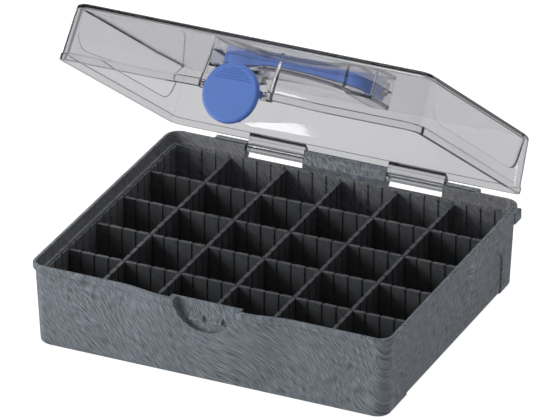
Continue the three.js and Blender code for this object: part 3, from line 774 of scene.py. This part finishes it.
class BuildTray(bpy.types.Operator):
    """Builds the tray with its rim, grooved walls, latch seat, side panels and hinge parts."""
    bl_idname = "organizer.tray"
    bl_label = "Tray"

    def execute(self, context):
        sizes = context.scene.organizer_sizes
        colours = context.scene.organizer_colours
        plastic = streaked_plastic("tray_plastic", colours.tray, 0.8, 0.5, 0.0004)
        # the inner walls and wall pads get a darker copy of the tray plastic as painted shade
        inside = streaked_plastic("tray_inside", colours.inside, 0.65, 0.5)
        shell = paint(tray_outer(sizes), plastic)
        cut(shell, paint(tray_hollow(sizes), inside), *both_sides(paint(side_panel(sizes), plastic)))
        seat = arc(0, RECESS_CENTRE_Z, RECESS_RADIUS, 180, 360, 48)
        seat += [(RECESS_RADIUS, 60), (-RECESS_RADIUS, 60)]
        reach = KNUCKLE_OUTER_X + PLATE_GAP
        cut(
            shell,
            paint(prism("latch_seat", seat, "Y", -115, RECESS_PLANE_Y), plastic),
            paint(block("hinge_notch", -reach, reach, 96, 112, HINGE_Z - 5.2, 60), plastic),
        )
        stop = rounded(block("stop", 109, 118.2, 94, 104.2, 41, 48), 0.5)
        parts = [*both_sides(catch_lug()), *hinge_barrel(), *both_sides(hinge_block()), *both_sides(stop)]
        parts = [shell, *wall_pads(sizes, inside), *[paint(part, plastic) for part in parts]]
        tray = smooth(gather("tray", parts))
        hand_over(tray, "base", ["base_tray"])
        return {"FINISHED"}


# ---------- dividers ----------
def divider_plate(name, cells, pitch, sizes, material):
    """A thin web with pads on both faces, between upright grooves, drawn along X round the origin."""
    web, plate = sizes.web / MM, sizes.plate / MM
    bottom = FLOOR + PLATE_GAP
    length = cells * pitch
    step = pitch / GROOVES_PER_CELL
    groove = web + 2 * PLATE_GAP
    tongue = length / 2 - web / 2 - 0.35
    end = length / 2 - plate / 2 - PLATE_GAP
    spine = rounded(block("web", -tongue, tongue, -web / 2, web / 2, bottom, DIVIDER_TOP - 0.25), 0.15, 1)
    half_pad = step / 2 - groove / 2
    pad = rounded(block("pad", -half_pad, half_pad, -plate / 2, plate / 2, bottom, DIVIDER_TOP), 0.45)
    count = cells * GROOVES_PER_CELL - 2
    inner = row_of(pad, count, (-(count - 1) * step / 2, 0, 0), (step, 0, 0), material)
    remove(pad)
    ends = []
    for side in (-1, 1):
        near = side * (length / 2 - step + groove / 2)
        low, high = sorted((near, side * end))
        ends.append(rounded(block("end_pad", low, high, -plate / 2, plate / 2, bottom, DIVIDER_TOP), 0.45))
    return paint(smooth(gather(name, [spine, inner, *ends])), material)


def placed_plate(pattern, node, matrix):
    """A divider plate in its own place, standing for one node."""
    hand_over(transformed_copy(pattern, "plate_" + node, matrix), node, [node])


class BuildDividers(bpy.types.Operator):
    """Builds the long and the cross divider plates, each in its own place in the tray."""
    bl_idname = "organizer.dividers"
    bl_label = "Divider plates"

    def execute(self, context):
        sizes = context.scene.organizer_sizes
        colour = context.scene.organizer_colours.divider
        # the divider colour holds painted shade of the deep cells on top of the plastic's own dark tone
        plastic = streaked_plastic("divider_plastic", colour, 0.45, 0.42, swirl_depth=0.02)
        pitch_x, pitch_y = sizes.column_pitch / MM, sizes.row_pitch / MM
        long_plate = divider_plate("long_pattern", sizes.rows, pitch_y, sizes, plastic)
        cross_plate = divider_plate("cross_pattern", 1, pitch_x, sizes, plastic)
        quarter = Matrix.Rotation(math.radians(90), 4, "Z")
        for column in range(1, sizes.columns):
            x = (column - sizes.columns / 2) * sizes.column_pitch
            placed_plate(long_plate, f"long_divider_{column}", Matrix.Translation((x, 0, 0)) @ quarter)
        for row in range(1, sizes.rows):
            for column in range(1, sizes.columns + 1):
                x = (column - (sizes.columns + 1) / 2) * sizes.column_pitch
                y = (sizes.rows / 2 - row) * sizes.row_pitch
                node = f"cross_divider_{row}_{column}"
                placed_plate(cross_plate, node, Matrix.Translation((x, y, 0)))
        remove(long_plate)
        remove(cross_plate)
        return {"FINISHED"}


# ---------- lid, drawn closed ----------
def lid_swell(height, sizes):
    return sizes.swell / MM * (1 - ease(0, 30, height))


def lid_insets(height):
    """How far the lid's side, rear and front stand inside the rim above the lip band."""
    return [1.2 + (height - LID_BAND_TOP) * lean for lean in (0.037, 0.103, 0.0515)]


def lid_outer(sizes):
    """The lid's outside as a solid: a flared band, leaning walls and a rounded top edge."""
    corner, top = sizes.corner / MM, sizes.lid_height / MM

    def level(height, side, rear, front, round_corner):
        return case_ring(
            LID_BOTTOM + height, RIM_WIDTH / 2 - side, RIM_DEPTH / 2 - rear, -RIM_DEPTH / 2 + front,
            round_corner, lid_swell(height, sizes))

    rings = [level(0, 0.3, 0.3, 0.3, corner), level(0.3, 0, 0, 0, corner), level(3.9, 0, 0, 0, corner)]
    rings += [level(4.25, 0.15, 0.15, 0.15, corner), level(4.5, 0.9, 0.9, 0.9, corner - 1.5)]
    for height in (LID_BAND_TOP, 9, 13, 17, 21, 25, 29, LID_ROUND_FROM):
        rings.append(level(height, *lid_insets(height), corner - 2.5))
    edge = top - LID_ROUND_FROM
    for step in range(1, 8):
        turn = math.radians(90 * step / 7)
        inset = edge * (1 - math.cos(turn))
        sides = [value + inset for value in lid_insets(LID_ROUND_FROM)]
        height = LID_ROUND_FROM + edge * math.sin(turn)
        rings.append(level(height, *sides, corner - 2.5 - 0.25 * inset))
    return loft("lid_shell", rings)


def lid_hollow(sizes):
    """The lid's inside as a solid. It keeps clear of the latch bay in the middle of the front."""
    wall, top, corner = sizes.lid_wall / MM, sizes.lid_height / MM, sizes.corner / MM

    def level(height, side, rear, front, round_corner):
        return case_ring(
            LID_BOTTOM + height, RIM_WIDTH / 2 - wall - side, RIM_DEPTH / 2 - wall - rear,
            -RIM_DEPTH / 2 + wall + front, round_corner, lid_swell(height, sizes), BAY_HALF + BAY_SIDE_WALL)

    rings = [level(-1, 0.9, 0.9, 1.2, corner - 3)]
    for height in (LID_BAND_TOP, 9, 13, 17, 21, 25, 29, HOLLOW_ROUND_FROM):
        rings.append(level(height, *lid_insets(height), corner - 3))
    edge = top - wall - HOLLOW_ROUND_FROM
    for step in range(1, 5):
        turn = math.radians(22.5 * step)
        inset = edge * (1 - math.cos(turn))
        sides = [value + inset for value in lid_insets(HOLLOW_ROUND_FROM)]
        height = HOLLOW_ROUND_FROM + edge * math.sin(turn)
        rings.append(level(height, *sides, corner - 3 - 0.4 * inset))
    return loft("lid_hollow", rings)


def latch_bay():
    """The space in front of the lid's plain wall, where the latch sits, as a cutter."""
    outline = [
        (BAY_WALL_Y, LID_BOTTOM - 1), (BAY_WALL_Y, LID_BOTTOM + LID_BAND_TOP), (BAY_WALL_Y + 1.4, BAY_TOP),
        (-115, BAY_TOP), (-115, LID_BOTTOM - 1),
    ]
    return prism("latch_bay", outline, "X", -BAY_HALF, BAY_HALF)


def latch_seat_ring():
    """A shallow round seat for the disc in the bay's wall, as a cutter."""
    circle = arc(0, RECESS_CENTRE_Z, SEAT_RING_RADIUS, 0, 360, 72)[:-1]
    return prism("seat_ring", circle, "Y", -104, BAY_WALL_Y + 0.7)


def latch_ear(sizes):
    """A small ear at the bay's lower corner that carries the latch's pivot."""
    inner = sizes.latch_radius / MM + 0.9
    low, high = LID_BOTTOM + 0.01, LID_BOTTOM + 4.8
    return block("ear", inner, BAY_HALF + 1, BAY_WALL_Y - 4.4, BAY_WALL_Y + 1, low, high)


def lid_side_panel(sizes):
    """The sunk panel of a lid side, open to the top, as a cutter."""
    low, high = LID_BOTTOM + 11.3, LID_BOTTOM + sizes.lid_height / MM + 1
    outline = [(-90, high), (-86, LID_BOTTOM + 27)]
    outline += curve3((-86, LID_BOTTOM + 27), (-82, low), (-60, low), 12)
    outline += [(66, low)]
    outline += curve3((66, low), (77, low), (80, LID_BOTTOM + 19), 10)
    outline += [(86, high)]
    half, band_top = RIM_WIDTH / 2, LID_BOTTOM + LID_BAND_TOP
    tool = prism("lid_panel", outline, "X", 100, 130)
    skin = prism("lid_panel_depth", [
        (half - 1.2 - PANEL_DROP, band_top), (130, band_top), (130, high),
        (half - 3.4 - PANEL_DROP, high), (half - 2.2 - PANEL_DROP, BAY_TOP),
    ], "Y", -100, 100)
    return rounded(combine(tool, [skin], "INTERSECT"), 0.7)


def pocket_outline(grow):
    """Plan of the handle's pocket: a bar with wider ends, grown outwards by `grow`."""
    end, lobe, corner = 53 + grow, 38 - grow, 5 + grow
    lobe_front, lobe_back = -26 - grow, 14 + grow
    waist_front, waist_back = -21 - grow, 7 + grow
    right = [(lobe - 8, waist_front), (lobe, lobe_front)]
    right += arc(end - corner, lobe_front + corner, corner, 270, 360, 8)
    right += arc(end - corner, lobe_back - corner, corner, 0, 90, 8)
    right += [(lobe, lobe_back), (lobe - 8, waist_back)]
    return right + [(-x, y) for x, y in reversed(right)]


def pocket_room(grow, top):
    """Room of the handle's pocket: a floor arched like the bow between two deeper cups."""
    cup, floor, cup_floor = 40.4 - grow, POCKET_ENDS_Z - grow, CUP_FLOOR_Z - grow
    side = [(-60, top), (-60, cup_floor), (-cup - 1.2, cup_floor)]
    side += curve3((-cup, floor), (0, floor + 8.4), (cup, floor), 20)
    side += [(cup + 1.2, cup_floor), (60, cup_floor), (60, top)]
    room = prism("pocket", pocket_outline(grow), "Z", CUP_FLOOR_Z - 3, top)
    return combine(room, [prism("pocket_side", side, "Y", -40, 30)], "INTERSECT")


def lid_knuckle():
    """One of the lid's two hinge knuckles with the web that joins it to the rear wall."""
    x0, x1 = KNUCKLE_INNER_X + PLATE_GAP, KNUCKLE_OUTER_X - PLATE_GAP
    rear = RIM_DEPTH / 2
    web = prism("knuckle_web", [
        (HINGE_Y - 3.6, HINGE_Z + 1), (HINGE_Y + 3.4, HINGE_Z + 1), (HINGE_Y + 1.4, LID_BOTTOM + 2.4),
        (rear - 0.4, LID_BOTTOM + 4.2), (rear - 1.6, LID_BOTTOM + 2), (rear - 1.6, LID_BOTTOM + 0.02),
    ], "X", x0, x1)
    knuckle = unite(rod("knuckle", x0, x1, HINGE_Y, HINGE_Z, KNUCKLE_RADIUS, 40), web)
    return cut(knuckle, rod("knuckle_bore", x0 - 1, x1 + 1, HINGE_Y, HINGE_Z, PIN_BORE, 24))


class BuildLid(bpy.types.Operator):
    """Builds the smoke lid with its lip band, side panels, latch bay, handle pocket and knuckles."""
    bl_idname = "organizer.lid"
    bl_label = "Lid"

    def execute(self, context):
        sizes = context.scene.organizer_sizes
        plastic = smoke_plastic("smoke_plastic", context.scene.organizer_colours.lid_tint)
        top = LID_BOTTOM + sizes.lid_height / MM
        lid = cut(lid_outer(sizes), lid_hollow(sizes), latch_bay(), *both_sides(lid_side_panel(sizes)))
        pocket = rounded(pocket_room(POCKET_WALL, top - 1), 1.2, 3)
        unite(lid, pocket, *both_sides(lid_knuckle()), *both_sides(latch_ear(sizes)))
        cut(
            lid, rounded(pocket_room(0, top + 2), 1.8, 4), latch_seat_ring(),
            *both_sides(rod("handle_bore", 52, 60, HANDLE_AXIS_Y, HANDLE_AXIS_Z, HANDLE_BORE, 20)),
            rod("latch_bore", -BAY_HALF - 0.4, BAY_HALF + 0.4, LATCH_AXIS_Y, LATCH_AXIS_Z, LATCH_BORE, 16),
        )
        lid.name = "smoke_lid"
        smooth(lid, 28)
        swing_open(lid, sizes.lid_angle)
        hand_over(paint(lid, plastic), "lid", ["lid"])
        return {"FINISHED"}


# ---------- latch ----------
class BuildLatch(bpy.types.Operator):
    """Builds the latch disc with its grip ridges, its hub and its hooks."""
    bl_idname = "organizer.latch"
    bl_label = "Latch"

    def execute(self, context):
        sizes = context.scene.organizer_sizes
        plastic = blue_plastic("blue_plastic", context.scene.organizer_colours.blue)
        radius, thickness = sizes.latch_radius / MM, sizes.latch_thickness / MM
        face = LATCH_BACK_Y - thickness
        outline = [(radius - 0.5, LATCH_BACK_Y), (radius, LATCH_BACK_Y - 0.5)]
        outline += [(x, face + 1.6 + y) for x, y in arc(radius - 1.6, 0, 1.6, 0, -90, 6)]
        outline.append((radius - 3.4, face + 0.06))
        rings = []
        for r, y in outline:
            circle = arc(0, LATCH_CENTRE_Z, r, 360, 0, 96)[:-1]
            rings.append([(x * LATCH_NARROWING, y, z) for x, z in circle])
        disc = loft("disc", rings)
        ridges = []
        for i in range(5):
            z = LATCH_CENTRE_Z + 8.3 + i * 1.6
            reach = LATCH_NARROWING * math.sqrt((radius - 3.4) ** 2 - (z - LATCH_CENTRE_Z) ** 2)
            ridges.append(rounded(rod("ridge", -reach, reach, face + 0.12, z, 0.26, 12), 0.1))
        low, high = LATCH_AXIS_Z - 2.1, LATCH_AXIS_Z + 2.1
        hub = block("hub", -17.6, 17.6, LATCH_BACK_Y - 0.5, -100.9, low, high)
        cut(hub, rod("hub_bore", -20, 20, LATCH_AXIS_Y, LATCH_AXIS_Z, LATCH_BORE, 16))
        hook = rounded(block("hook", 1.8, 8.4, LATCH_BACK_Y - 0.5, -101.7, 39.2, 41.6), 0.3)
        latch = smooth(gather("latch_disc", [disc, *ridges, hub, *both_sides(hook)]), 40)
        swing_open(latch, sizes.lid_angle)
        hand_over(paint(latch, plastic), "latch", ["latch"])
        return {"FINISHED"}


# ---------- handle ----------
class BuildHandle(bpy.types.Operator):
    """Builds the folding handle: a bowed grip with two round feet on its pivots."""
    bl_idname = "organizer.handle"
    bl_label = "Handle"

    def execute(self, context):
        sizes = context.scene.organizer_sizes
        plastic = blue_plastic("handle_plastic", context.scene.organizer_colours.blue)
        half, axis_y = HANDLE_HALF, HANDLE_AXIS_Y
        right = [(half, axis_y), (half, -6)]
        right += curve3((half, -6), (half - 1, -18.5), (half - 12, -19), 12)
        left = [(-x, y) for x, y in reversed(right)]
        inner = -half + FOOT_THICKNESS
        inside = [(inner, axis_y)]
        inside += curve3((inner, axis_y), (inner + 1, -8), (inner + 8.5, -8.5), 12)
        back = [(-x, y) for x, y in reversed(inside)]
        low, high = HANDLE_AXIS_Z - 4, HANDLE_AXIS_Z + 5
        bow = prism("bow", right + left + inside + back, "Z", low, high + 14)
        arch = [(-half - 1, low)] + curve3((-half - 1, low), (0, low + 9), (half + 1, low), 24)
        arch += [(half + 1, high)] + curve3((half + 1, high), (0, high + 13), (-half - 1, high), 24)
        combine(bow, [prism("arch", arch, "Y", -30, 10)], "INTERSECT")
        foot = rod("foot", half - FOOT_THICKNESS, half, axis_y, HANDLE_AXIS_Z, FOOT_RADIUS, 40)
        bore = rod("foot_bore", half - 7, half + 1, axis_y, HANDLE_AXIS_Z, HANDLE_BORE, 20)
        unite(bow, *both_sides(foot))
        cut(bow, *both_sides(bore))
        rounded(bow, 0.7, 3, 50)
        bow.name = "carry_handle"
        smooth(bow, 40)
        swing_open(bow, sizes.lid_angle)
        hand_over(paint(bow, plastic), "handle", ["handle"])
        return {"FINISHED"}


# ---------- pins ----------
class FinishPins(bpy.types.Operator):
    """Gives the pins of the hinge, the latch and the handle their drawn-steel finish."""
    bl_idname = "organizer.pins"
    bl_label = "Pins"

    def execute(self, context):
        steel = drawn_steel("drawn_steel", context.scene.organizer_colours.steel)
        for name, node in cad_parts.items():
            if "_pin" in name:
                node.data.materials.clear()
                node.data.materials.append(steel)
        return {"FINISHED"}


# ---------- stage, in metres ----------
LIGHTS_TARGET = (0, 0, 0.06)
LIGHTS = (
    # name, place, size, power in watts, seen through the clear lid
    ("key_light", (-0.85, -0.95, 0.5), (0.6, 0.6), 11, False),
    ("back_light", (-1.1, 2.3, 1.3), (3.0, 1.6), 14, False),
    ("top_light", (0.2, 0.6, 2.0), (2.2, 1.6), 15, True),
)
SURROUNDINGS_COLOUR = (0.95, 0.97, 1, 1)
SURROUNDINGS_STRENGTH = 0.27
CAMERA_LENS = 454.94
CAMERA_DISTANCE = 4.3157
CAMERA_TOWARDS = Vector((0.371, -0.806, 0.461)).normalized()
CAMERA_RIGHT = Vector((0.908, 0.418, 0)).normalized()
CAMERA_SHIFT = (0.0019, 0.0134)


def turn_towards(obj, place, target):
    """Sets obj at place so that it looks at target."""
    obj.location = place
    obj.rotation_mode = "QUATERNION"
    obj.rotation_quaternion = (Vector(target) - Vector(place)).to_track_quat("-Z", "Y")


def soft_light(name, place, size, power, through_lid):
    data = bpy.data.lights.new(name, "AREA")
    data.shape = "RECTANGLE"
    data.size, data.size_y = size
    data.energy = power
    light = bpy.data.objects.new(name, data)
    light.visible_transmission = through_lid
    bpy.context.scene.collection.objects.link(light)
    turn_towards(light, place, LIGHTS_TARGET)


class BuildStage(bpy.types.Operator):
    """Sets the pale floor, the soft studio lights, the surroundings and the camera."""
    bl_idname = "organizer.stage"
    bl_label = "Stage"

    def execute(self, context):
        scene = context.scene
        floor = block("studio_floor", -6000, 6000, -6000, 6000, -10, -0.05)
        floor.data.materials.append(studio_floor("floor_finish", scene.organizer_colours.floor))
        for settings in LIGHTS:
            soft_light(*settings)
        world = bpy.data.worlds.new("surroundings")
        world.use_nodes = True
        background = world.node_tree.nodes["Background"]
        background.inputs["Color"].default_value = SURROUNDINGS_COLOUR
        background.inputs["Strength"].default_value = SURROUNDINGS_STRENGTH
        scene.world = world
        scene.view_settings.view_transform = "Standard"
        middle = Vector((0, 0, TRAY_HEIGHT * MM))
        up = CAMERA_TOWARDS.cross(CAMERA_RIGHT)
        aim = middle + CAMERA_RIGHT * CAMERA_SHIFT[0] + up * CAMERA_SHIFT[1]
        data = bpy.data.cameras.new("camera")
        data.lens = CAMERA_LENS
        data.clip_start, data.clip_end = 0.1, 100
        camera = bpy.data.objects.new("camera", data)
        scene.collection.objects.link(camera)
        turn_towards(camera, middle + CAMERA_TOWARDS * CAMERA_DISTANCE, aim)
        scene.camera = camera
        return {"FINISHED"}


# ---------- sidebar ----------
class OrganizerPanel(bpy.types.Panel):
    """Lists the sizes, the colours and the pieces of the case."""
    bl_idname = "VIEW3D_PT_organizer"
    bl_label = "Parts organizer"
    bl_space_type = "VIEW_3D"
    bl_region_type = "UI"
    bl_category = "Organizer"

    def draw(self, context):
        for group in (context.scene.organizer_sizes, context.scene.organizer_colours):
            column = self.layout.column()
            for name in group.__annotations__:
                column.prop(group, name)
        for operator in OPERATORS:
            self.layout.operator(operator.bl_idname)


OPERATORS = (BuildTray, BuildDividers, BuildLid, BuildLatch, BuildHandle, FinishPins, BuildStage)
CLASSES = (OrganizerSizes, OrganizerColours, *OPERATORS, OrganizerPanel)


def register():
    for cls in CLASSES:
        bpy.utils.register_class(cls)
    bpy.types.Scene.organizer_sizes = bpy.props.PointerProperty(type=OrganizerSizes)
    bpy.types.Scene.organizer_colours = bpy.props.PointerProperty(type=OrganizerColours)


def unregister():
    del bpy.types.Scene.organizer_colours
    del bpy.types.Scene.organizer_sizes
    for cls in reversed(CLASSES):
        bpy.utils.unregister_class(cls)


def main():
    register()
    bpy.ops.organizer.tray()
    bpy.ops.organizer.dividers()
    bpy.ops.organizer.lid()
    bpy.ops.organizer.latch()
    bpy.ops.organizer.handle()
    bpy.ops.organizer.pins()
    bpy.ops.organizer.stage()


if __name__ == "__main__":
    main()
